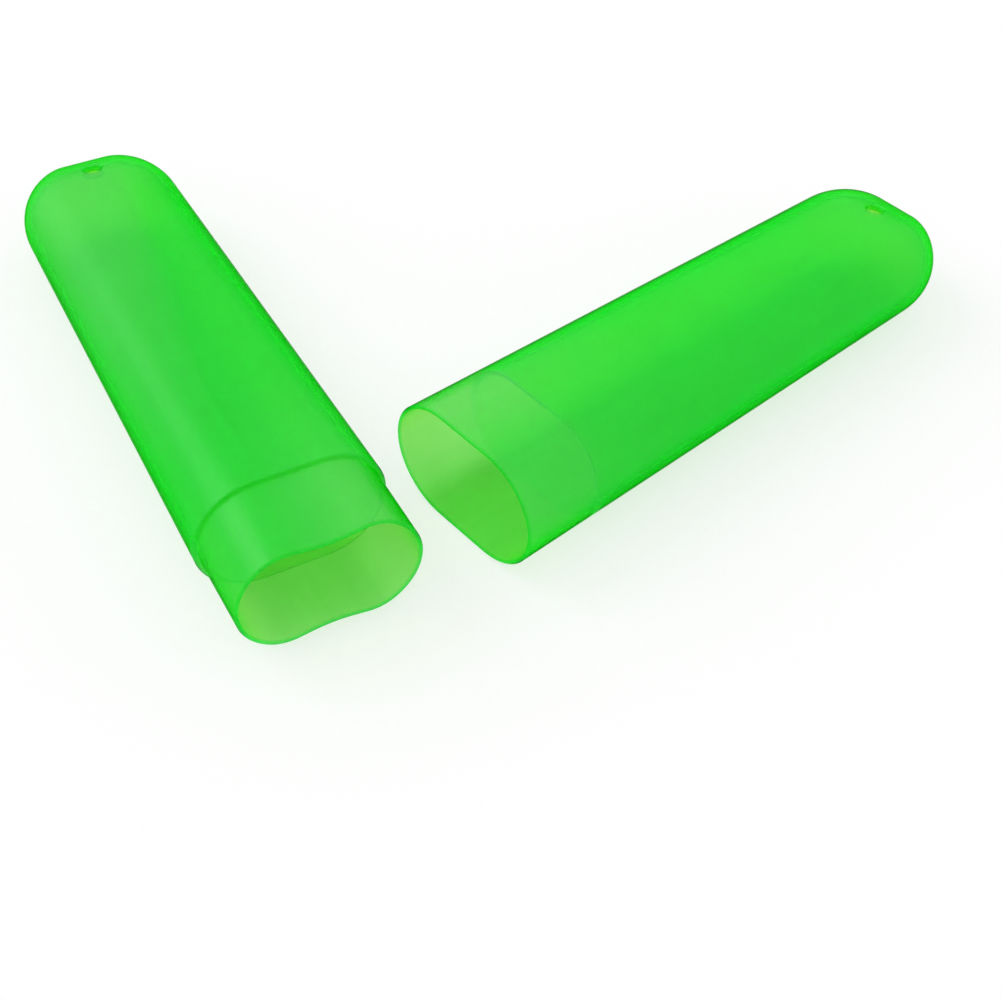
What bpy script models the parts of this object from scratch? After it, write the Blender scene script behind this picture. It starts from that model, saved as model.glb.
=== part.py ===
# Two-piece travel case for a toothbrush, laid out open on a table: the body half with
# its stepped neck, and the cap half, taken off, beside it. Each half lies on a flat side.
# Units are metres and +Z is up. The origin is on the table, under the middle of the body
# half's straight barrel, and the body half's mouth faces -Y.

import math

import bmesh
import bpy

MM = 0.001

# The outside, measured at the parting line where the closed halves meet.
THICKNESS = 22.0 * MM
FLAT_WIDTH = 11.0 * MM
BODY_LENGTH = 105.0 * MM
CAP_LENGTH = 113.0 * MM
DRAFT = math.radians(0.85)
DOME_DEPTH = 14.5 * MM
DOME_POWER = 2.1

# The push fit. The cap's lip slides over the body's neck, and the two thin walls with the
# clearance between them make up the full wall, so the closed case is flush inside and out.
LIP_WALL = 0.7 * MM
LIP_CLEARANCE = 0.1 * MM
NECK_WALL = 0.7 * MM
NECK_LENGTH = 15.0 * MM
NECK_DRAFT = math.radians(0.3)
NECK_WAIST = 1.1 * MM
WAIST_SHARE = 0.7
SEAT_CLEARANCE = 0.5 * MM

# Rounded edges, and the air hole in the upper flat side near each closed end.
SHOULDER_ROUND = 0.45 * MM
ROOT_ROUND = 0.25 * MM
RIM_ROUND = 0.22 * MM
VENT_DIAMETER = 3.4 * MM
VENT_FROM_TIP = 10.8 * MM

# Where the cap half lies: the middle of its mouth, measured from the middle of the body
# half's parting line, and its turn about the vertical from lying in line with the body.
CAP_ACROSS = 27.4 * MM
CAP_FORWARD = 5.1 * MM
CAP_TURN = math.radians(-76.9)

# How finely the curves are faceted.
END_STEPS = 18
FLAT_STEPS = 6
NECK_STEPS = 4
DOME_STEPS = 9
ROUND_STEPS = 3
VENT_SIDES = 24
SHARP_EDGE = math.radians(35)
COPLANAR = math.radians(0.02)

END_RADIUS = THICKNESS / 2
HALF_FLAT = FLAT_WIDTH / 2
WALL = LIP_WALL + LIP_CLEARANCE + NECK_WALL
BORE_DEPTH = NECK_LENGTH + SEAT_CLEARANCE
GREEN = (0.045, 0.665, 0.038, 1.0)


def clear_scene():
    for obj in list(bpy.data.objects):
        bpy.data.objects.remove(obj, do_unlink=True)


def green_plastic(name):
    """Translucent green polypropylene with a satin skin."""
    material = bpy.data.materials.new(name)
    material.use_nodes = True
    shader = material.node_tree.nodes["Principled BSDF"]
    shader.inputs["Base Color"].default_value = GREEN
    shader.inputs["Metallic"].default_value = 0.0
    shader.inputs["Roughness"].default_value = 0.3
    shader.inputs["IOR"].default_value = 1.49
    shader.inputs["Transmission Weight"].default_value = 0.6
    material.diffuse_color = GREEN
    return material


# Sections and radii. A half runs along its own Y: the parting line is at 0, the closed
# end is towards +Y, and the body's neck reaches towards -Y.

def oval(y, half_flat, radius, pull):
    """One ring square to the long axis: a flat-sided oval with half-round ends.

    Its flat sides are drawn in by pull at the middle, easing out to nothing."""
    outline = []
    for side in (1, -1):
        for step in range(END_STEPS + 1):
            turn = math.pi * (step / END_STEPS - side / 2)
            outline.append((side * half_flat + radius * math.cos(turn), radius * math.sin(turn)))
        for step in range(1, FLAT_STEPS):
            outline.append((side * half_flat * (1 - 2 * step / FLAT_STEPS), side * radius))
    reach = WAIST_SHARE * (half_flat + radius)
    ring = []
    for x, z in outline:
        ease = 0.5 + 0.5 * math.cos(math.pi * min(abs(x) / reach, 1))
        ring.append((x, y, z * (1 - pull * ease / radius)))
    return ring


def barrel_radius(depth):
    """End radius of the outside, at a depth behind the parting line."""
    return END_RADIUS - math.tan(DRAFT) * depth


def neck_radius(reach):
    """End radius of the neck's outside, at a reach in front of the parting line."""
    return END_RADIUS - LIP_WALL - LIP_CLEARANCE - math.tan(NECK_DRAFT) * reach


def neck_pull(reach):
    """How far the neck's flat sides are drawn in: not at its root, and fully at its rim."""
    return NECK_WAIST * math.sin(math.pi / 2 * reach / NECK_LENGTH) ** 2


def quarter_turn():
    return [math.pi / 2 * step / ROUND_STEPS for step in range(ROUND_STEPS + 1)]


# Stations are (y, half_flat, radius, pull), and each skin runs from the rim to the tip.

def closed_end(length, inset):
    """The domed end, on the outside or an inset further in, and the place of its tip."""
    start = length - DOME_DEPTH
    depth = DOME_DEPTH - inset
    stations = []
    for step in range(DOME_STEPS):
        turn = math.pi / 2 * step / DOME_STEPS
        y = start + depth * math.sin(turn) ** (2 / DOME_POWER)
        size = math.cos(turn) ** (2 / DOME_POWER)
        stations.append((y, HALF_FLAT * size, (barrel_radius(y) - inset) * size, 0))
    return stations, start + depth


def neck_skin(inset, rim, root):
    """The neck's outside, or its inside at an inset of the wall, from its rim to its root."""
    lean = -1 if inset else 1
    stations = []
    for turn in quarter_turn():
        reach = NECK_LENGTH - rim * (1 - math.cos(turn))
        radius = neck_radius(reach) - inset - lean * rim * (1 - math.sin(turn))
        stations.append((-reach, HALF_FLAT, radius, neck_pull(reach)))
    for step in range(1, NECK_STEPS):
        reach = NECK_LENGTH - rim - (NECK_LENGTH - rim - root) * step / NECK_STEPS
        stations.append((-reach, HALF_FLAT, neck_radius(reach) - inset, neck_pull(reach)))
    return stations


def body_skins():
    step_height = LIP_WALL + LIP_CLEARANCE
    rim = min(RIM_ROUND, NECK_WALL / 3)
    root = min(ROOT_ROUND, step_height / 3)
    shoulder = min(SHOULDER_ROUND, step_height / 2)

    outer = neck_skin(0, rim, root)
    for turn in quarter_turn():
        reach = root * (1 - math.sin(turn))
        radius = neck_radius(0) + root * (1 - math.cos(turn))
        outer.append((-reach, HALF_FLAT, radius, neck_pull(reach)))
    for turn in quarter_turn():
        depth = shoulder * (1 - math.cos(turn))
        radius = barrel_radius(depth) - shoulder * (1 - math.sin(turn))
        outer.append((depth, HALF_FLAT, radius, 0))
    dome, outer_tip = closed_end(BODY_LENGTH, 0)
    outer += dome

    inner = neck_skin(NECK_WALL, rim, 0)
    inner.append((0, HALF_FLAT, barrel_radius(0) - WALL, 0))
    dome, inner_tip = closed_end(BODY_LENGTH, WALL)
    inner += dome
    return outer, outer_tip, inner, inner_tip


def cap_skins():
    rim = min(RIM_ROUND, LIP_WALL / 3)
    bore_end = neck_radius(BORE_DEPTH) + LIP_CLEARANCE
    inside = barrel_radius(BORE_DEPTH) - WALL
    edge = min(SHOULDER_ROUND, (bore_end - inside) / 3)

    outer = []
    inner = []
    for turn in quarter_turn():
        depth = rim * (1 - math.cos(turn))
        fall = rim * (1 - math.sin(turn))
        outer.append((depth, HALF_FLAT, barrel_radius(depth) - fall, 0))
        inner.append((depth, HALF_FLAT, neck_radius(depth) + LIP_CLEARANCE + fall, 0))
    dome, outer_tip = closed_end(CAP_LENGTH, 0)
    outer += dome

    inner.append((BORE_DEPTH, HALF_FLAT, bore_end, 0))
    for turn in quarter_turn():
        depth = BORE_DEPTH + edge * (1 - math.cos(turn))
        inner.append((depth, HALF_FLAT, barrel_radius(depth) - WALL + edge * (1 - math.sin(turn)), 0))
    dome, inner_tip = closed_end(CAP_LENGTH, WALL)
    inner += dome
    return outer, outer_tip, inner, inner_tip


def loft(bm, stations, tip):
    """Faces through the stations' rings to a point at the tip. Returns the first ring."""
    rings = [[bm.verts.new(point) for point in oval(*station)] for station in stations]
    for near, far in zip(rings, rings[1:]):
        join(bm, near, far)
    last = rings[-1]
    point = bm.verts.new((0, tip, 0))
    for start, end in zip(last, last[1:] + last[:1]):
        bm.faces.new((start, end, point))
    return rings[0]


def join(bm, near, far):
    for a, b, c, d in zip(near, near[1:] + near[:1], far[1:] + far[:1], far):
        bm.faces.new((a, b, c, d))


def moulded_half(name, skins, length, location, turn):
    """One half: its two skins joined round the rim, lying on a flat side, with its air hole."""
    outer, outer_tip, inner, inner_tip = skins
    bm = bmesh.new()
    join(bm, loft(bm, outer, outer_tip), loft(bm, inner, inner_tip))
    bmesh.ops.dissolve_limit(bm, angle_limit=COPLANAR, verts=bm.verts, edges=bm.edges)
    bmesh.ops.recalc_face_normals(bm, faces=bm.faces)
    mesh = bpy.data.meshes.new(name)
    bm.to_mesh(mesh)
    bm.free()
    mesh.shade_smooth()
    mesh.set_sharp_from_angle(angle=SHARP_EDGE)
    mesh.materials.append(green_plastic(name + "_plastic"))

    half = bpy.data.objects.new(name, mesh)
    bpy.context.collection.objects.link(half)
    half.location = location
    half.rotation_euler = (-DRAFT, 0, turn)
    cut_air_hole(half, length)
    return half


def cut_air_hole(half, length):
    """A round hole through the upper flat wall only, a little short of the closed end."""
    bm = bmesh.new()
    bmesh.ops.create_cone(bm, cap_ends=True, segments=VENT_SIDES, depth=THICKNESS,
                          radius1=VENT_DIAMETER / 2, radius2=VENT_DIAMETER / 2)
    mesh = bpy.data.meshes.new(half.name + "_air_hole")
    bm.to_mesh(mesh)
    bm.free()
    cutter = bpy.data.objects.new(mesh.name, mesh)
    bpy.context.collection.objects.link(cutter)
    cutter.parent = half
    cutter.location = (0, length - VENT_FROM_TIP, THICKNESS / 2)
    cutter.display_type = "WIRE"
    cutter.hide_render = True

    hole = half.modifiers.new("air_hole", "BOOLEAN")
    hole.operation = "DIFFERENCE"
    hole.solver = "EXACT"
    hole.object = cutter


def main():
    clear_scene()
    mouth_y = -(BODY_LENGTH - DOME_DEPTH) / 2
    lift = END_RADIUS * math.cos(DRAFT)
    moulded_half("case_body", body_skins(), BODY_LENGTH, (0, mouth_y, lift), 0)
    moulded_half("case_cap", cap_skins(), CAP_LENGTH,
                 (CAP_ACROSS, mouth_y - CAP_FORWARD, lift), CAP_TURN)


main()
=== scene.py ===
import math

import bmesh
import bpy
from mathutils import Euler, Matrix, Vector


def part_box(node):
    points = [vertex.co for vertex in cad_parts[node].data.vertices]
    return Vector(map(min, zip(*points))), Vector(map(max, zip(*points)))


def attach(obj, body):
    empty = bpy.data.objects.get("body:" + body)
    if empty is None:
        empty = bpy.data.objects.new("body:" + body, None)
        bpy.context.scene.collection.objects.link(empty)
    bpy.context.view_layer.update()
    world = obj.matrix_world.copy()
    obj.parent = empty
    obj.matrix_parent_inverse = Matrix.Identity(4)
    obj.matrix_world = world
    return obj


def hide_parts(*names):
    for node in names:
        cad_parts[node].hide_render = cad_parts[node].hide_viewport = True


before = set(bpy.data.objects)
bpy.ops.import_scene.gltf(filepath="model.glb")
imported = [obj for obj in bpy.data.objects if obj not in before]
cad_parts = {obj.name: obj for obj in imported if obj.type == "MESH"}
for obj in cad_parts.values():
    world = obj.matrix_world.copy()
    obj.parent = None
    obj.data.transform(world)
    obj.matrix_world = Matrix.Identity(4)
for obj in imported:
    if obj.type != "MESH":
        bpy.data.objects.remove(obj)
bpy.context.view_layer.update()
mm = 0.001

# The camera: in front of the mouths and a little to the left, looking down at both halves.
camera = {
    "lookAt": (36.7, -47.0, 0.0),   # mm, a point on the table
    "distance": 271.2,              # mm
    "azimuth": -29.97,              # degrees; 0 looks along +Y
    "elevation": 45.93,
    "roll": -2.27,
    "lens": 57.48,                  # mm
    "sensor": 36.0,                 # mm wide
}


def addCamera():
    azimuth = math.radians(camera["azimuth"])
    elevation = math.radians(camera["elevation"])
    roll = math.radians(camera["roll"])
    level = Vector((math.cos(azimuth), math.sin(azimuth), 0))
    away = Vector((math.sin(azimuth), -math.cos(azimuth), 0))
    back = away * math.cos(elevation) + Vector((0, 0, math.sin(elevation)))
    right = level * math.cos(roll) - back.cross(level) * math.sin(roll)
    turned = Matrix((right, back.cross(right), back)).transposed().to_4x4()
    place = Vector(camera["lookAt"]) * mm + back * camera["distance"] * mm
    data = bpy.data.cameras.new("camera")
    data.sensor_width = camera["sensor"]
    data.lens = camera["lens"]
    made = bpy.data.objects.new("camera", data)
    made.matrix_world = Matrix.Translation(place) @ turned
    bpy.context.collection.objects.link(made)
    bpy.context.scene.camera = made


addCamera()
print("camera in place")


# Short cuts for building node trees.

def plug(tree, socket, value):
    if isinstance(value, bpy.types.NodeSocket):
        tree.links.new(value, socket)
    else:
        socket.default_value = value


def addNode(tree, kind, values=None, **settings):
    made = tree.nodes.new(kind)
    for name, setting in settings.items():
        setattr(made, name, setting)
    for name, value in (values or {}).items():
        plug(tree, made.inputs[name], value)
    return made


def calc(tree, operation, *values):
    made = addNode(tree, "ShaderNodeMath", operation=operation)
    for socket, value in zip(made.inputs, values):
        plug(tree, socket, value)
    return made.outputs[0]


def rise(tree, value, start, end, height, low=0.0):
    values = {"Value": value, "From Min": start, "From Max": end, "To Min": low, "To Max": height}
    return addNode(tree, "ShaderNodeMapRange", values, clamp=True).outputs["Result"]


# What both halves share. Lengths in mm, angles in degrees.
section = {
    "thickness": 22.0,         # over the flat sides, at the parting line
    "flatWidth": 11.0,         # of each flat side; the ends are half round
    "wall": 1.5,
    "draft": 0.85,             # taper of each side towards the closed end
    "domeDepth": 14.5,
    "domePower": 2.1,          # 2 is an ellipse, and more is squarer
}
pushFit = {
    "lipWall": 0.7,            # of the cap, over the neck
    "clearance": 0.1,
    "neckLength": 15.0,
    "neckWall": 0.7,
    "neckDraft": 0.3,
    "waist": 1.1,              # how far the neck's flat sides are drawn in at its rim
    "waistShare": 0.7,         # of the width that the waist takes
    "seatClearance": 0.5,      # past the neck's rim, to the end of the cap's counterbore
    "rimRound": 0.22,
    "rootRound": 0.25,
    "shoulderRound": 0.4,
    "boreRound": 0.3,
}
airHole = {
    "diameter": 3.4,
    "fromTip": 10.8,           # of the closed end
    "edgeRound": 0.35,
    "rowGap": 0.38,            # between the rows of faces round it
    "rows": 7,                 # on each side of its middle
    "columns": 7,
    "rings": 5,                # from its edge out to those rows
}
gateMark = {
    "radius": 1.3,             # of the round recess in the tip of the closed end
    "depth": 0.25,
    "stubRadius": 0.4,         # the stub that the gate leaves in its middle
    "stubHeight": 0.17,
    "edge": 0.3,               # how wide the recess' slope is
    "rings": 14,
}
fineness = {
    "arcSteps": 36,            # to each quarter of a round end
    "flatSteps": 28,           # across each flat side
    "roundSteps": 6,
    "neckSteps": 18,
    "barrelSteps": 36,
    "domeSteps": 40,
    "mergeWithin": 0.0005,     # mm
}


def barrelRadius(depth):
    return section["thickness"] / 2 - math.tan(math.radians(section["draft"])) * depth


def neckRadius(reach):
    step = pushFit["lipWall"] + pushFit["clearance"]
    return section["thickness"] / 2 - step - math.tan(math.radians(pushFit["neckDraft"])) * reach


def quarterTurns():
    return [math.pi / 2 * step / fineness["roundSteps"] for step in range(fineness["roundSteps"] + 1)]


def between(start, end, steps):
    return [start + (end - start) * step / steps for step in range(1, steps)]


# A station is how deep behind the parting line a ring lies, its end radius and its half flat.
# A skin is a list of stations from the rim to the tip of the closed end.

def station(depth, radius, share=1.0):
    return depth, radius, section["flatWidth"] / 2 * share


def domeSize(depth, length, inset):
    start = length - section["domeDepth"]
    along = (depth - start) / (section["domeDepth"] - inset)
    return (1 - max(along, 0) ** section["domePower"]) ** (1 / section["domePower"])


# Rings closer together round the gate mark, so that its slopes are smooth.
def gateDepths(length):
    width = section["flatWidth"] / 2 + barrelRadius(length)
    depths = []
    for step in range(1, gateMark["rings"] + 1):
        size = (gateMark["radius"] + gateMark["edge"]) * step / gateMark["rings"] / width
        share = (1 - size ** section["domePower"]) ** (1 / section["domePower"])
        depths.append(length - section["domeDepth"] * (1 - share))
    return depths


# Evenly spaced rings take the place of the dome's own ones round the air hole.
def closedEnd(length, inset):
    reach = section["domeDepth"] - inset
    start = length - section["domeDepth"]
    middle = length - airHole["fromTip"]
    window = airHole["rowGap"] * (airHole["rows"] + 0.5)
    depths = []
    for step in range(fineness["domeSteps"]):
        turn = math.pi / 2 * step / fineness["domeSteps"]
        depth = start + reach * math.sin(turn) ** (2 / section["domePower"])
        if abs(depth - middle) > window:
            depths.append(depth)
    depths += [middle + airHole["rowGap"] * row for row in range(-airHole["rows"], airHole["rows"] + 1)]
    if not inset:
        depths += gateDepths(length)
    stations = []
    for depth in sorted(depths):
        size = domeSize(depth, length, inset)
        stations.append(station(depth, (barrelRadius(depth) - inset) * size, size))
    return stations + [station(start + reach, 0, 0)]


def barrel(depth, length, inset):
    depths = between(depth, length - section["domeDepth"], fineness["barrelSteps"])
    return [station(depth, barrelRadius(depth) - inset) for depth in depths]


def neckSkin(inset):
    rim = pushFit["rimRound"]
    lean = -1 if inset else 1
    stations = []
    for turn in quarterTurns():
        reach = pushFit["neckLength"] - rim * (1 - math.cos(turn))
        stations.append(station(-reach, neckRadius(reach) - inset - lean * rim * (1 - math.sin(turn))))
    for reach in between(pushFit["neckLength"] - rim, pushFit["rootRound"], fineness["neckSteps"]):
        stations.append(station(-reach, neckRadius(reach) - inset))
    return stations


def bodySkins(length):
    outer = neckSkin(0)
    root = pushFit["rootRound"]
    for turn in quarterTurns():
        outer.append(station(-root * (1 - math.sin(turn)), neckRadius(0) + root * (1 - math.cos(turn))))
    shoulder = pushFit["shoulderRound"]
    for turn in quarterTurns():
        depth = shoulder * (1 - math.cos(turn))
        outer.append(station(depth, barrelRadius(depth) - shoulder * (1 - math.sin(turn))))
    outer += barrel(shoulder, length, 0) + closedEnd(length, 0)
    inner = neckSkin(pushFit["neckWall"])
    inner += [station(0, barrelRadius(0) - section["wall"])]
    inner += barrel(0, length, section["wall"]) + closedEnd(length, section["wall"])
    return outer, inner


def capSkins(length):
    outer = []
    inner = []
    rim = pushFit["rimRound"]
    for turn in quarterTurns():
        depth = rim * (1 - math.cos(turn))
        fall = rim * (1 - math.sin(turn))
        outer.append(station(depth, barrelRadius(depth) - fall))
        inner.append(station(depth, neckRadius(depth) + pushFit["clearance"] + fall))
    outer += barrel(rim, length, 0) + closedEnd(length, 0)
    bore = pushFit["neckLength"] + pushFit["seatClearance"]
    root = pushFit["rootRound"]
    edge = pushFit["boreRound"]
    for depth in between(rim, bore - root, fineness["neckSteps"]):
        inner.append(station(depth, neckRadius(depth) + pushFit["clearance"]))
    for turn in quarterTurns():
        depth = bore - root * (1 - math.sin(turn))
        inner.append(station(depth, neckRadius(bore) + pushFit["clearance"] - root * (1 - math.cos(turn))))
    for turn in quarterTurns():
        depth = bore + edge * (1 - math.cos(turn))
        inner.append(station(depth, barrelRadius(depth) - section["wall"] + edge * (1 - math.sin(turn))))
    inner += barrel(bore + edge, length, section["wall"]) + closedEnd(length, section["wall"])
    return outer, inner


# The shell's node tree. A grid has a row for each station and a column for each step round the
# section. Each point goes to its station's ring: an oval with flat sides and half round ends.
# The rows run from the tip of the outer skin over the rim to the tip of the inner skin.

def addInputs(tree, inputs):
    for name, kind, value in inputs:
        socket = tree.interface.new_socket(name, in_out="INPUT", socket_type=kind)
        if value is not None:
            socket.default_value = value
    tree.interface.new_socket("Geometry", in_out="OUTPUT", socket_type="NodeSocketGeometry")


def mouldedShellTree():
    tree = bpy.data.node_groups.new("mouldedShell", "GeometryNodeTree")
    tree.is_modifier = True
    addInputs(tree, (
        ("Stations", "NodeSocketObject", None),
        ("Outer Rows", "NodeSocketInt", None),
        ("Arc Steps", "NodeSocketInt", fineness["arcSteps"]),
        ("Flat Steps", "NodeSocketInt", fineness["flatSteps"]),
        ("Neck Length", "NodeSocketFloat", pushFit["neckLength"] * mm),
        ("Waist", "NodeSocketFloat", pushFit["waist"] * mm),
        ("Waist Share", "NodeSocketFloat", pushFit["waistShare"]),
        ("Gate Radius", "NodeSocketFloat", gateMark["radius"] * mm),
        ("Gate Edge", "NodeSocketFloat", gateMark["edge"] * mm),
        ("Gate Depth", "NodeSocketFloat", gateMark["depth"] * mm),
        ("Stub Radius", "NodeSocketFloat", gateMark["stubRadius"] * mm),
        ("Stub Height", "NodeSocketFloat", gateMark["stubHeight"] * mm),
        ("Plastic", "NodeSocketMaterial", None),
    ))
    given = addNode(tree, "NodeGroupInput").outputs

    stations = addNode(tree, "GeometryNodeObjectInfo", {"Object": given["Stations"]}).outputs["Geometry"]
    rows = addNode(tree, "GeometryNodeAttributeDomainSize", {"Geometry": stations}).outputs["Point Count"]
    arcs = calc(tree, "MULTIPLY", given["Arc Steps"], 4)
    around = calc(tree, "MULTIPLY_ADD", given["Flat Steps"], 2, arcs)
    counts = {"Vertices X": calc(tree, "ADD", around, 1), "Vertices Y": rows}
    grid = addNode(tree, "GeometryNodeMeshGrid", counts).outputs["Mesh"]

    # Which row and column a point belongs to, and its station. The half keeps the division
    # clear of whole numbers.
    index = addNode(tree, "GeometryNodeInputIndex").outputs["Index"]
    column = calc(tree, "FLOOR", calc(tree, "DIVIDE", calc(tree, "ADD", index, 0.5), rows))
    row = calc(tree, "SUBTRACT", index, calc(tree, "MULTIPLY", column, rows))
    position = addNode(tree, "GeometryNodeInputPosition").outputs["Position"]
    sample = {"Geometry": stations, "Value": position, "Index": row}
    ring = addNode(tree, "GeometryNodeSampleIndex", sample, data_type="FLOAT_VECTOR").outputs["Value"]
    depth, radius, halfFlat = addNode(tree, "ShaderNodeSeparateXYZ", {"Vector": ring}).outputs

    # Round the section: a quarter arc, a flat side, a half round end, a flat side, a quarter arc.
    quarter = given["Arc Steps"]
    flat = given["Flat Steps"]
    firstFlatEnd = calc(tree, "ADD", quarter, flat)
    farEndEnd = calc(tree, "MULTIPLY_ADD", quarter, 2, firstFlatEnd)
    lastFlatEnd = calc(tree, "ADD", farEndEnd, flat)
    turn = calc(tree, "ADD", rise(tree, column, 0, quarter, math.pi / 2),
                rise(tree, column, firstFlatEnd, farEndEnd, math.pi))
    turn = calc(tree, "ADD", turn, rise(tree, column, lastFlatEnd, around, math.pi / 2))
    side = calc(tree, "SUBTRACT", 1, rise(tree, column, quarter, firstFlatEnd, 2))
    side = calc(tree, "ADD", side, rise(tree, column, farEndEnd, lastFlatEnd, 2))
    offMiddle = calc(tree, "MULTIPLY", side, halfFlat)
    across = calc(tree, "MULTIPLY_ADD", radius, calc(tree, "COSINE", turn), offMiddle)
    height = calc(tree, "MULTIPLY", radius, calc(tree, "SINE", turn))

    # The neck's waist: most at the rim and in the middle of the flat sides, easing out to nothing.
    reach = calc(tree, "MAXIMUM", calc(tree, "MULTIPLY", depth, -1), 0)
    swing = calc(tree, "DIVIDE", reach, given["Neck Length"])
    swing = calc(tree, "SINE", calc(tree, "MULTIPLY", swing, math.pi / 2))
    pull = calc(tree, "MULTIPLY", given["Waist"], calc(tree, "MULTIPLY", swing, swing))
    width = calc(tree, "MULTIPLY", calc(tree, "ADD", radius, halfFlat), given["Waist Share"])
    share = calc(tree, "MINIMUM", calc(tree, "DIVIDE", calc(tree, "ABSOLUTE", across), width), 1)
    ease = calc(tree, "MULTIPLY_ADD", calc(tree, "COSINE", calc(tree, "MULTIPLY", share, math.pi)), 0.5, 0.5)
    kept = calc(tree, "SUBTRACT", 1, calc(tree, "DIVIDE", calc(tree, "MULTIPLY", pull, ease), radius))
    height = calc(tree, "MULTIPLY", height, kept)

    # The gate mark: a round recess in the tip of the outer skin, with a low stub in its middle,
    # whose own slope is half as wide.
    away = calc(tree, "MULTIPLY_ADD", across, across, calc(tree, "MULTIPLY", height, height))
    away = calc(tree, "SQRT", away)
    slopeEnd = calc(tree, "ADD", given["Gate Radius"], given["Gate Edge"])
    recess = rise(tree, away, given["Gate Radius"], slopeEnd, 0.0, given["Gate Depth"])
    stubEnd = calc(tree, "MULTIPLY_ADD", given["Gate Edge"], 0.5, given["Stub Radius"])
    stub = rise(tree, away, given["Stub Radius"], stubEnd, 0.0, given["Stub Height"])
    outerSkin = calc(tree, "LESS_THAN", row, given["Outer Rows"])
    sunk = calc(tree, "MULTIPLY", outerSkin, calc(tree, "SUBTRACT", recess, stub))
    depth = calc(tree, "SUBTRACT", depth, sunk)

    place = addNode(tree, "ShaderNodeCombineXYZ", {"X": across, "Y": depth, "Z": height})
    shell = addNode(tree, "GeometryNodeSetPosition", {"Geometry": grid, "Position": place.outputs[0]})
    stored = (("row", row, "INT"), ("column", column, "INT"), ("outerSkin", outerSkin, "FLOAT"))
    for name, value, kind in stored:
        values = {"Geometry": shell.outputs[0], "Name": name, "Value": value}
        shell = addNode(tree, "GeometryNodeStoreNamedAttribute", values, data_type=kind, domain="POINT")
    values = {"Geometry": shell.outputs[0], "Distance": fineness["mergeWithin"] * mm}
    shell = addNode(tree, "GeometryNodeMergeByDistance", values)
    shell = addNode(tree, "GeometryNodeSetShadeSmooth", {"Geometry": shell.outputs[0]})
    shell = addNode(tree, "GeometryNodeRealizeInstances", {"Geometry": shell.outputs[0]})
    values = {"Geometry": shell.outputs[0], "Material": given["Plastic"]}
    shell = addNode(tree, "GeometryNodeSetMaterial", values)
    addNode(tree, "NodeGroupOutput", {"Geometry": shell.outputs[0]})
    return tree


def drawShell(name, tree, outer, inner, material):
    rail = bpy.data.meshes.new(name + "Stations")
    rail.from_pydata([Vector(place) * mm for place in outer[::-1] + inner], [], [])
    guide = bpy.data.objects.new(rail.name, rail)
    bpy.context.collection.objects.link(guide)
    carrier = bpy.data.objects.new(name, bpy.data.meshes.new(name))
    bpy.context.collection.objects.link(carrier)
    modifier = carrier.modifiers.new("mouldedShell", "NODES")
    modifier.node_group = tree
    sockets = {item.name: item.identifier for item in tree.interface.items_tree if item.in_out == "INPUT"}
    modifier[sockets["Stations"]] = guide
    modifier[sockets["Outer Rows"]] = len(outer)
    modifier[sockets["Plastic"]] = material
    carrier.update_tag()
    bpy.context.view_layer.update()
    evaluated = carrier.evaluated_get(bpy.context.evaluated_depsgraph_get())
    mesh = bpy.data.meshes.new_from_object(evaluated)
    mesh.materials.clear()
    mesh.materials.append(material)
    mesh.polygons.foreach_set("material_index", [0] * len(mesh.polygons))
    carrier.modifiers.remove(modifier)
    carrier.data = mesh
    bpy.data.objects.remove(guide)
    return carrier


# The grid points round a rectangle of columns and rows, counted from its middle.
def squareLoop(columns, rows):
    loop = [(columns, row) for row in range(-rows, rows)]
    loop += [(column, rows) for column in range(columns, -columns, -1)]
    loop += [(-columns, row) for row in range(rows, -rows, -1)]
    loop += [(column, -rows) for column in range(-columns, columns)]
    return loop


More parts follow.
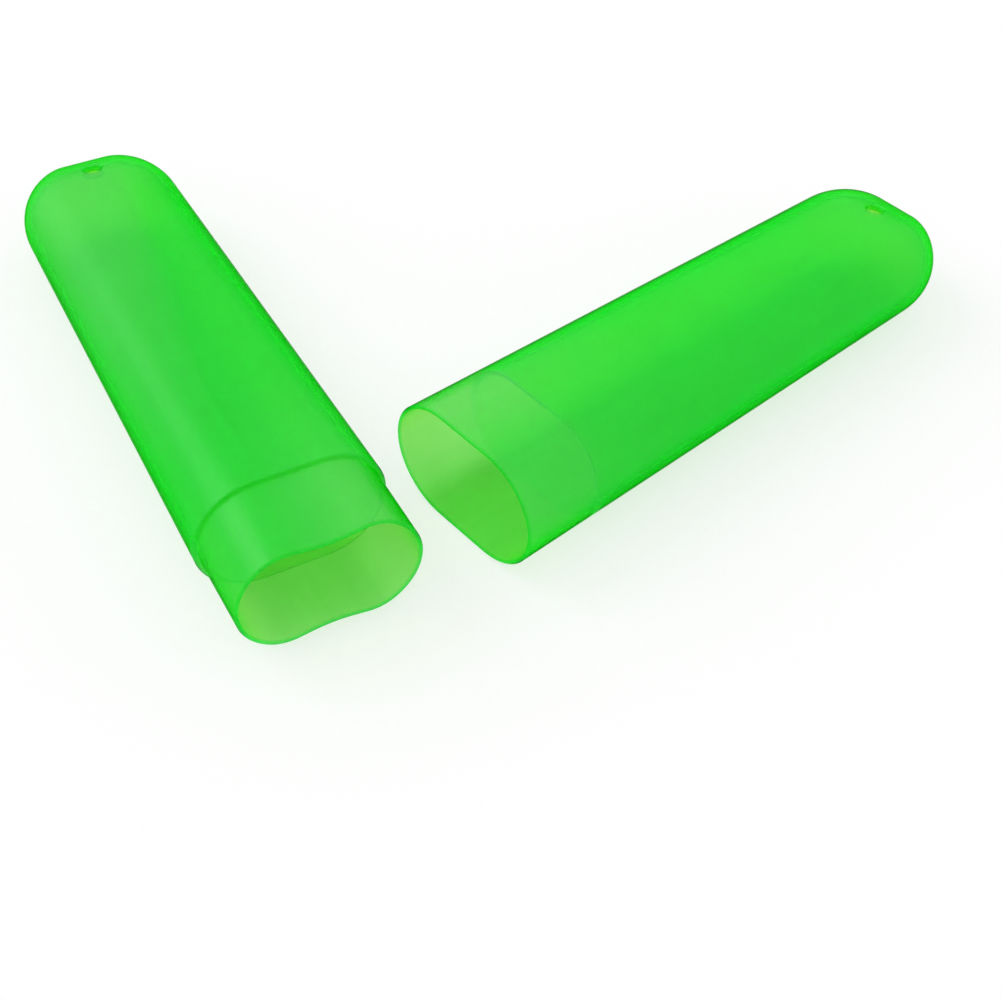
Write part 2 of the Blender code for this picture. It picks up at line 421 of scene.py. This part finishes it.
# The air hole: a rectangle of points goes from each skin, and rings of faces lead from its edge
# to the round hole, over its rounded edges and through the wall.
def openAirHole(piece, length, outer, inner):
    shell = bmesh.new()
    shell.from_mesh(piece.data)
    rowOf = shell.verts.layers.int["row"]
    columnOf = shell.verts.layers.int["column"]
    outerSkin = shell.verts.layers.float["outerSkin"]
    points = {(point[rowOf], point[columnOf]): point for point in shell.verts}
    middle = length - airHole["fromTip"]
    middleColumn = fineness["arcSteps"] + fineness["flatSteps"] // 2
    columns, rows = airHole["columns"], airHole["rows"]

    def nearest(skin):
        return min(range(len(skin)), key=lambda number: abs(skin[number][0] - middle))

    outerStart = len(outer) - 1 - nearest(outer)
    innerStart = len(outer) + nearest(inner)

    def ringsFrom(middleRow, step, inset, fall):
        loop = [points[middleRow + step * row, middleColumn + column]
                for column, row in squareLoop(columns, rows)]
        spots = [Vector((point.co.x / mm, point.co.y / mm - middle)) for point in loop]
        wide = airHole["diameter"] / 2 + airHole["edgeRound"]
        layers = [[spot.lerp(spot.normalized() * wide, share) for spot in spots]
                  for share in between(0, 1, airHole["rings"])]
        layers = [(layer, 0) for layer in layers]
        for turn in quarterTurns():
            size = wide - airHole["edgeRound"] * math.sin(turn)
            drop = airHole["edgeRound"] * (1 - math.cos(turn))
            layers.append(([spot.normalized() * size for spot in spots], drop))
        rings = [loop]
        for layer, drop in layers:
            ring = []
            for spot in layer:
                depth = middle + spot.y
                height = (barrelRadius(depth) - inset) * domeSize(depth, length, inset) + fall * drop
                ring.append(shell.verts.new(Vector((spot.x, depth, height)) * mm))
                ring[-1][outerSkin] = float(inset == 0)
            rings.append(ring)
        return rings

    outside = ringsFrom(outerStart, -1, 0, -1)
    inside = ringsFrom(innerStart, 1, section["wall"], 1)
    rings = outside + inside[::-1]
    for near, far in zip(rings, rings[1:]):
        for a, b, c, d in zip(near, near[1:] + near[:1], far[1:] + far[:1], far):
            shell.faces.new((a, b, c, d))
    doomed = [points[start + step * row, middleColumn + column]
              for start, step in ((outerStart, -1), (innerStart, 1))
              for row in range(1 - rows, rows)
              for column in range(1 - columns, columns)]
    bmesh.ops.delete(shell, geom=doomed, context="VERTS")
    bmesh.ops.recalc_face_normals(shell, faces=shell.faces)
    for face in shell.faces:
        face.smooth = True
    shell.to_mesh(piece.data)
    shell.free()
    for name in ("row", "column"):
        piece.data.attributes.remove(piece.data.attributes[name])


# Where a half lies: the middle of its parting line, in metres, and its turn. It lies on a flat
# side, so its axis leans back by the draft.
def layDown(half):
    draft = math.radians(section["draft"])
    lift = section["thickness"] / 2 * math.cos(draft)
    mouth = -(bodyHalf["length"] - section["domeDepth"]) / 2
    place = Vector((half["across"], mouth - half["forward"], lift)) * mm
    return place, Euler((-draft, 0, math.radians(half["turn"])))


def mouldHalf(name, node, body, skins, half, tree):
    outer, inner = skins
    rim = outer[0][0]
    material = greenPlastic(body + "Plastic", half, rim)
    piece = drawShell(name, tree, outer, inner, material)
    openAirHole(piece, half["length"], outer, inner)
    place, turn = layDown(half)
    piece.data.transform(Matrix.LocRotScale(place, turn, None))
    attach(piece, body)
    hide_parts(node)
    low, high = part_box(node)
    corners = [Vector(point.co) for point in piece.data.vertices]
    for axis in range(3):
        under = (min(corner[axis] for corner in corners) - low[axis]) / mm
        over = (max(corner[axis] for corner in corners) - high[axis]) / mm
        print(name, "xyz"[axis], "off the frame by", round(under, 3), round(over, 3))
    print(name, "has", len(piece.data.polygons), "faces")


# The plastic: polypropylene dyed through, clear enough to see into, with a little milkiness and
# a satin skin. A tint is multiplied with the colour under it. Lengths in mm.
plastic = {
    "tint": (0.7676, 0.9695, 0.6761),
    "roughness": 0.14,
    "roughnessSpread": 0.04,
    "refraction": 1.03,        # far weaker than the plastic's 1.49, so that it mirrors little
    "absorbs": (0.8215, 0.9973, 0.5534),
    "strength": 2000.0,        # of that colour, per metre
    "milk": 0.2632,            # how much of the surface is milkiness
    "milkColour": (0.003, 0.9919, 0.1109),
    "milkThrough": 0.313,      # the share of the milkiness that lets light through
    "sheen": 0.0251,           # how much of the surface is a soft gloss
    "sheenSpread": 0.35,
    "sheenColour": (0.8, 0.9, 1.0),
}
# Painted shade: the colour is made deeper at the rims, at the step of the push fit, at the air hole's edge,
# and where the outer skin is seen at a slant, standing in for light that has run along the wall.
paintedShade = {
    "rimShadeColour": (0.12, 0.98, 0.3),
    "rimFade": 0.5,
    "holeShadeColour": (0.4, 0.86, 0.6),
    "holeFade": (0.3, 0.6),    # out from its edge, where the tint starts and ends fading
    "slantFrom": (0.5, 0.85),  # from 0, face on, to 1: where the deeper glass starts and is full
    "edgeFrom": (0.65, 0.85),  # and where its colour goes over to the edge's
    "slantInside": 0.15,       # how much of it the inner skin has
    "slantRefraction": 1.01,
    "upperFrom": (-4.0, 4.0),  # above the half's axis, where the under side becomes the upper
    "clearOfStep": (0.6, 1.2),   # from the step, where it fades in on the under side
}
skin = {
    "cloudSize": 11.0,         # soft uneven patches in the dye
    "streakCount": 7.0,        # flow streaks from the gate, more with a higher number
    "streakLength": 45.0,
    "patchRange": (0.35, 0.65),   # of the noise, from no patch to the deepest
    "deepTint": (0.92, 0.97, 0.89),   # in the deepest patches and streaks
    "satinSize": 0.22,         # the grain of the mould's skin
    "satinDepth": 0.002,
    "waveSize": 9.0,           # slow waves where the wall has shrunk
    "waveSqueeze": 0.4,        # along the half, so that they are longer that way
    "waveDepth": 0.035,
    "scuffWidth": 0.16,        # fine scuffs along the push fit, from closing the case
    "scuffLength": 7.0,
    "scuffRange": (0.58, 0.7),
    "scuffDepth": 0.004,
    "grainShare": 0.5,         # of the satin grain, and of the scuffs, in the roughness
}
paleWearAndSheen = {
    "colour": (0.33, 0.88, 0.45),   # of the paler milkiness: wear by the push fit, gate blush, and painted sheen
    "handledAndSheen": 0.5,            # how pale the upper side of the barrel is next to the push fit, partly wear and partly painted sheen
    "handledAndSheenReach": 25.0,
    "lineRange": (0.25, 0.75),   # of the fine lines' noise, from the least rubbed to the most
    "lineStrength": (0.7, 1.1),
}
noTint = (1, 1, 1)


def vectorCalc(tree, operation, *values):
    made = addNode(tree, "ShaderNodeVectorMath", operation=operation)
    for socket, value in zip(made.inputs, values):
        plug(tree, socket, value)
    return made.outputs[0]


def noise(tree, place, size, detail):
    values = {"Vector": place, "Scale": 1 / size, "Detail": detail, "Roughness": 0.5}
    return addNode(tree, "ShaderNodeTexNoise", values).outputs[0]


def mixColour(tree, share, first, second, way="MIX"):
    first, second = [(*colour, 1) if isinstance(colour, tuple) else colour for colour in (first, second)]
    values = {0: share, 6: first, 7: second}
    return addNode(tree, "ShaderNodeMix", values, data_type="RGBA", blend_type=way).outputs[2]


def tinted(tree, first, second):
    return mixColour(tree, 1.0, first, second, "MULTIPLY")


def mixShader(tree, share, first, second):
    return addNode(tree, "ShaderNodeMixShader", {0: share, 1: first, 2: second}).outputs[0]


# Some values are pairs, for the side of low x and the side of high x. They go over from one to
# the other across the flat side, or from the half's middle to its edge.
def acrossFlat(tree, across, pair):
    return rise(tree, across, -section["flatWidth"] / 2, section["flatWidth"] / 2, pair[1], pair[0])


def toEdge(tree, across, pair):
    return rise(tree, across, 0, section["thickness"] / 2, pair[1], pair[0])


# Where a point is on its half: across it, along it from its parting line, and up. The body's rim
# is in front of that line, and its step is on the outer skin; the cap's step is on the inner.
def readPlace(tree, half, rim):
    place, turn = layDown(half)
    seat = {"Vector": addNode(tree, "ShaderNodeTexCoord").outputs["Object"],
            "Location": place, "Rotation": turn, "Scale": (mm, mm, mm)}
    own = addNode(tree, "ShaderNodeMapping", seat, vector_type="TEXTURE").outputs[0]
    across, along, up = addNode(tree, "ShaderNodeSeparateXYZ", {"Vector": own}).outputs
    upper = rise(tree, up, *paintedShade["upperFrom"], 1)
    outerSkin = addNode(tree, "ShaderNodeAttribute", attribute_name="outerSkin").outputs["Fac"]
    stepSkin = calc(tree, "COMPARE", outerSkin, float(rim < 0), 0.5)
    step = 0.0 if rim < 0 else rim + pushFit["neckLength"] + pushFit["seatClearance"]
    return {
        "own": own,
        "across": across,
        "along": along,
        "upper": upper,
        "outerSkin": outerSkin,
        "stepSkin": calc(tree, "MULTIPLY", upper, stepSkin),
        "offStep": calc(tree, "ABSOLUTE", calc(tree, "SUBTRACT", along, step)),
    }


# Patches and flow streaks, which run from the gate along the barrel to the rim.
def unevenDye(tree, spot):
    outward = vectorCalc(tree, "NORMALIZE", vectorCalc(tree, "MULTIPLY", spot["own"], (1, 0, 1)))
    outward = vectorCalc(tree, "MULTIPLY", outward, (skin["streakCount"],) * 3)
    drift = calc(tree, "DIVIDE", spot["along"], skin["streakLength"])
    drift = addNode(tree, "ShaderNodeCombineXYZ", {"Y": drift}).outputs[0]
    streaks = noise(tree, vectorCalc(tree, "ADD", outward, drift), 1, detail=3)
    clouds = noise(tree, spot["own"], skin["cloudSize"], detail=2)
    mean = calc(tree, "MULTIPLY", calc(tree, "ADD", streaks, clouds), 0.5)
    return rise(tree, mean, *skin["patchRange"], 1)


# The tint of the patches, and painted shade at the rim, the step of the push fit and the air hole's edge.
def toneAndPaintedShade(tree, half, rim, spot, uneven):
    across, along = spot["across"], spot["along"]
    toneWithShade = mixColour(tree, uneven, noTint, skin["deepTint"])
    pastRim = rise(tree, along, rim, rim + paintedShade["rimFade"], 1)
    toneWithShade = tinted(tree, toneWithShade, mixColour(tree, pastRim, paintedShade["rimShadeColour"], noTint))
    # Painted shade: a darker line along the step of the push fit, on the upper side.
    strength = toEdge(tree, across, half["stepShadeStrength"])
    paintedStepLine = rise(tree, spot["offStep"], *half["stepFade"], 0.0, strength)
    paintedStepLine = calc(tree, "MULTIPLY", spot["stepSkin"], paintedStepLine)
    toneWithShade = tinted(tree, toneWithShade, mixColour(tree, paintedStepLine, noTint, half["stepShadeColour"]))
    # Painted shade: a darker ring round the air hole, on the upper side.
    fromHole = calc(tree, "SUBTRACT", along, half["length"] - airHole["fromTip"])
    fromHole = calc(tree, "MULTIPLY_ADD", fromHole, fromHole, calc(tree, "MULTIPLY", across, across))
    fromHole = calc(tree, "SUBTRACT", calc(tree, "SQRT", fromHole), airHole["diameter"] / 2)
    paintedHoleRing = rise(tree, fromHole, *paintedShade["holeFade"], 0.0, half["holeShadeStrength"])
    paintedHoleRing = calc(tree, "MULTIPLY", spot["upper"], paintedHoleRing)
    return tinted(tree, toneWithShade, mixColour(tree, paintedHoleRing, noTint, paintedShade["holeShadeColour"]))


# Fine lines along the half, and how far the push fit has worn it.
def fitWear(tree, half, fitEnd, spot):
    thin = (1, skin["scuffWidth"] / skin["scuffLength"], 1)
    lines = noise(tree, vectorCalc(tree, "MULTIPLY", spot["own"], thin), skin["scuffWidth"], detail=2)
    wornEnd = toEdge(tree, spot["across"], [fitEnd + fade for fade in half["fitFade"]])
    return lines, rise(tree, spot["along"], fitEnd, wornEnd, 0.0, 1.0)


# The skin's relief and roughness: satin grain, slow waves, and scuffs along the push fit.
def satinSkin(tree, spot, uneven, lines, worn):
    satin = noise(tree, spot["own"], skin["satinSize"], detail=2)
    squeezed = vectorCalc(tree, "MULTIPLY", spot["own"], (1, skin["waveSqueeze"], 1))
    waves = noise(tree, squeezed, skin["waveSize"], detail=1)
    scuffs = calc(tree, "MULTIPLY", rise(tree, lines, *skin["scuffRange"], 1), worn)
    height = calc(tree, "MULTIPLY", satin, skin["satinDepth"])
    height = calc(tree, "MULTIPLY_ADD", waves, skin["waveDepth"], height)
    height = calc(tree, "MULTIPLY_ADD", scuffs, -skin["scuffDepth"], height)
    bump = addNode(tree, "ShaderNodeBump", {"Height": height, "Distance": mm, "Strength": 1.0})
    for grain in (satin, scuffs):
        uneven = calc(tree, "MULTIPLY_ADD", grain, skin["grainShare"], uneven)
    smoothest = plastic["roughness"] - plastic["roughnessSpread"]
    roughest = plastic["roughness"] + plastic["roughnessSpread"]
    return bump.outputs[0], rise(tree, uneven, 0, 1 + 2 * skin["grainShare"], roughest, smoothest)


# The milkiness is paler where the push fit and hands have rubbed it, and towards the gate; part of that
# paleness is painted sheen, stronger on one side of each half.
def milkiness(tree, half, fitEnd, spot, lines, worn):
    across, along, upper = spot["across"], spot["along"], spot["upper"]
    strength = rise(tree, upper, 0, 1, acrossFlat(tree, across, half["wornAndSheen"]), half["wornAndSheenUnder"])
    handledAndSheen = rise(tree, along, fitEnd, fitEnd + paleWearAndSheen["handledAndSheenReach"], 0.0, 1.0)
    handledAndSheen = calc(tree, "MULTIPLY", handledAndSheen, rise(tree, upper, 0, 1, paleWearAndSheen["handledAndSheen"], 1.0))
    wornAndSheen = calc(tree, "MULTIPLY", calc(tree, "MAXIMUM", worn, handledAndSheen), strength)
    least, most = paleWearAndSheen["lineStrength"]
    wornAndSheen = calc(tree, "MULTIPLY", wornAndSheen, rise(tree, lines, *paleWearAndSheen["lineRange"], most, least))
    # Paler towards the gate: partly gate blush, partly painted sheen along one side.
    blushAndSheenFrom = calc(tree, "SUBTRACT", half["length"], acrossFlat(tree, across, half["blushAndSheenReach"]))
    blushAndSheen = rise(tree, along, blushAndSheenFrom, half["length"], half["blushAndSheen"])
    paler = calc(tree, "MAXIMUM", wornAndSheen, blushAndSheen)
    return mixColour(tree, paler, plastic["milkColour"], paleWearAndSheen["colour"])


# The deeper glass that the outer skin goes over to when seen at a slant, painted shade along its edges: its
# colour and share.
def slantShadeGlass(tree, half, spot):
    facing = addNode(tree, "ShaderNodeLayerWeight").outputs["Facing"]
    otherSide = acrossFlat(tree, spot["across"], (0, 1))
    colours = [mixColour(tree, otherSide, *half[name]) for name in ("slantShadeColour", "edgeShadeColour")]
    colour = mixColour(tree, rise(tree, facing, *paintedShade["edgeFrom"], 1), *colours)
    share = rise(tree, facing, *paintedShade["slantFrom"], 1)
    inside = rise(tree, spot["outerSkin"], 0, 1, 1, paintedShade["slantInside"])
    clearOfStep = rise(tree, spot["offStep"], *paintedShade["clearOfStep"], 1)
    share = calc(tree, "MULTIPLY", share, inside)
    return colour, calc(tree, "MULTIPLY", share, calc(tree, "MAXIMUM", spot["upper"], clearOfStep))


def greenPlastic(name, half, rim):
    material = bpy.data.materials.new(name)
    material.use_nodes = True
    tree = material.node_tree
    fitEnd = rim + pushFit["neckLength"]
    spot = readPlace(tree, half, rim)
    uneven = unevenDye(tree, spot)
    toneWithShade = toneAndPaintedShade(tree, half, rim, spot, uneven)
    lines, worn = fitWear(tree, half, fitEnd, spot)
    bump, roughness = satinSkin(tree, spot, uneven, lines, worn)

    def clearPlastic(node, colour, refraction):
        plug(tree, node.inputs["Base Color"], tinted(tree, toneWithShade, colour))
        plug(tree, node.inputs["Roughness"], roughness)
        plug(tree, node.inputs["Normal"], bump)
        node.inputs["Transmission Weight"].default_value = 1.0
        node.inputs["IOR"].default_value = refraction
        node.inputs["Specular IOR Level"].default_value = 0.0
        return node.outputs[0]

    clear = clearPlastic(tree.nodes["Principled BSDF"], plastic["tint"], plastic["refraction"])
    milkColour = tinted(tree, toneWithShade, milkiness(tree, half, fitEnd, spot, lines, worn))
    onto = addNode(tree, "ShaderNodeBsdfDiffuse", {"Color": milkColour, "Normal": bump})
    through = addNode(tree, "ShaderNodeBsdfTranslucent", {"Color": milkColour, "Normal": bump})
    milk = mixShader(tree, plastic["milkThrough"], onto.outputs[0], through.outputs[0])
    both = mixShader(tree, plastic["milk"], clear, milk)
    gloss = {"Color": (*plastic["sheenColour"], 1), "Roughness": plastic["sheenSpread"], "Normal": bump}
    gloss = addNode(tree, "ShaderNodeBsdfAnisotropic", gloss)
    both = mixShader(tree, plastic["sheen"], both, gloss.outputs[0])
    # Painted shade: the outer skin goes over to a deeper glass at a slant and at its edge.
    colour, share = slantShadeGlass(tree, half, spot)
    shadedEdgeGlass = clearPlastic(addNode(tree, "ShaderNodeBsdfPrincipled"), colour, paintedShade["slantRefraction"])
    surface = mixShader(tree, share, both, shadedEdgeGlass)
    dye = {"Color": (*plastic["absorbs"], 1), "Density": plastic["strength"]}
    dye = addNode(tree, "ShaderNodeVolumeAbsorption", dye)
    tree.links.new(surface, tree.nodes["Material Output"].inputs["Surface"])
    tree.links.new(dye.outputs["Volume"], tree.nodes["Material Output"].inputs["Volume"])
    return material


# The two halves. Lengths in mm; turn in degrees about the vertical, from in line with the body.
# The first of a pair is for the half's own side of low x, and the second for that of high x.
bodyHalf = {
    "length": 105.0,
    "across": 0.0,
    "forward": 0.0,
    "turn": 0.0,
    "wornAndSheen": (0.05, 0.6),     # how pale its upper side is next to the push fit, partly wear and partly painted sheen
    "wornAndSheenUnder": 1.0,        # and its under side
    "fitFade": (0.5, 0.5),     # how far past the push fit that goes
    # Painted shade: a darker line along the step of the push fit, on the upper side.
    "stepShadeStrength": (1.0, 1.0),
    "stepShadeColour": (0.45, 0.9, 0.55),
    "stepFade": (0.1, 0.4),    # from the step's middle, where its painted shade starts and ends fading
    "holeShadeStrength": 1.0,           # how strong the painted shade round its air hole is
    "blushAndSheen": 0.9,              # how pale it gets towards the gate, partly gate blush and partly painted sheen, which on the low-x side reaches far along the barrel
    "blushAndSheenReach": (95.0, 24.0),
    # Painted shade where the outer skin is seen at a slant, and darker still at its edge, set per side.
    "slantShadeColour": ((0.02, 0.88, 0.1), (0.01, 0.95, 0.09)),
    "edgeShadeColour": ((0.01, 0.58, 0.1), (0.005, 0.52, 0.08)),
}
capHalf = {
    "length": 113.0,
    "across": 27.4,
    "forward": 5.1,
    "turn": -76.9,
    "wornAndSheen": (0.9, 0.3),
    "wornAndSheenUnder": 0.0,
    "fitFade": (0.5, 4.0),
    "stepShadeStrength": (1.0, 0.0),
    "stepShadeColour": (0.1, 0.92, 0.5),
    "stepFade": (0.2, 0.6),
    "holeShadeStrength": 0.0,
    "blushAndSheen": 0.35,
    "blushAndSheenReach": (30.0, 24.0),
    "slantShadeColour": ((0.02, 0.8, 0.1), (0.005, 0.97, 0.09)),
    "edgeShadeColour": ((0.005, 0.3, 0.08), (0.005, 0.52, 0.08)),
}

shellTree = mouldedShellTree()
mouldHalf("bodyShell", "case_body", "body", bodySkins(bodyHalf["length"]), bodyHalf, shellTree)
mouldHalf("capShell", "case_cap", "cap", capSkins(capHalf["length"]), capHalf, shellTree)
print("both halves moulded")


# The table and the light: a flat white table, an even white sky and one broad soft lamp.
studio = {
    "floorColour": 0.888,
    "shadowSeen": 0.4,         # how much of the floor's shading the camera sees
    "shadowThrough": 0.954,    # and how much shows through the plastic
    "skyStrength": 0.7991,
    "lampStrength": 0.8283,
    "lampSpread": 40.0,        # degrees
    "lampTilt": (-49.6, 0.0, 46.2),   # degrees about x, y and z
    "level": 0.97,             # of the light on the floor, from the sky and the lamp together
    "floorSize": 8.0,          # metres
    "floorDrop": 0.02,         # mm, so that the floor and the halves don't share a plane
}


# Whether a ray shows the background, which is white however strong the light is.
def seesBackground(tree):
    ways = addNode(tree, "ShaderNodeLightPath").outputs
    seen = calc(tree, "MAXIMUM", ways["Is Camera Ray"], ways["Is Glossy Ray"])
    return calc(tree, "MAXIMUM", seen, ways["Is Transmission Ray"])


# The floor takes the light, and glows by what it then lacks to white, for the rays that show it.
def addStudio():
    material = bpy.data.materials.new("whiteTable")
    material.use_nodes = True
    tree = material.node_tree
    tree.nodes.remove(tree.nodes["Principled BSDF"])
    ways = addNode(tree, "ShaderNodeLightPath").outputs
    white = rise(tree, ways["Is Camera Ray"], 0, 1, studio["shadowSeen"], 1.0)
    through = rise(tree, ways["Is Transmission Ray"], 0, 1, studio["shadowThrough"], 1.0)
    white = calc(tree, "MULTIPLY", calc(tree, "MULTIPLY", white, through), studio["floorColour"])
    paint = addNode(tree, "ShaderNodeBsdfDiffuse", {"Color": white})
    lacking = calc(tree, "SUBTRACT", 1, calc(tree, "MULTIPLY", white, studio["level"]))
    glow = calc(tree, "MULTIPLY", seesBackground(tree), lacking)
    glow = addNode(tree, "ShaderNodeEmission", {"Strength": glow})
    both = addNode(tree, "ShaderNodeAddShader")
    tree.links.new(paint.outputs[0], both.inputs[0])
    tree.links.new(glow.outputs[0], both.inputs[1])
    tree.links.new(both.outputs[0], tree.nodes["Material Output"].inputs["Surface"])
    half = studio["floorSize"] / 2
    level = -studio["floorDrop"] * mm
    mesh = bpy.data.meshes.new("table")
    corners = [(-half, -half, level), (half, -half, level), (half, half, level), (-half, half, level)]
    mesh.from_pydata(corners, [], [(0, 1, 2, 3)])
    mesh.materials.append(material)
    table = bpy.data.objects.new("table", mesh)
    bpy.context.collection.objects.link(table)

    world = bpy.data.worlds.new("whiteSky")
    bpy.context.scene.world = world
    world.use_nodes = True
    tree = world.node_tree
    sky = tree.nodes["Background"]
    sky.inputs["Color"].default_value = (1, 1, 1, 1)
    plug(tree, sky.inputs["Strength"], rise(tree, seesBackground(tree), 0, 1, 1, studio["skyStrength"]))

    lamp = bpy.data.lights.new("softLamp", "SUN")
    lamp.energy = studio["lampStrength"]
    lamp.angle = math.radians(studio["lampSpread"])
    hung = bpy.data.objects.new("softLamp", lamp)
    hung.rotation_euler = [math.radians(angle) for angle in studio["lampTilt"]]
    bpy.context.collection.objects.link(hung)


addStudio()
bpy.context.scene.view_settings.view_transform = "Standard"
print("table and light in place")
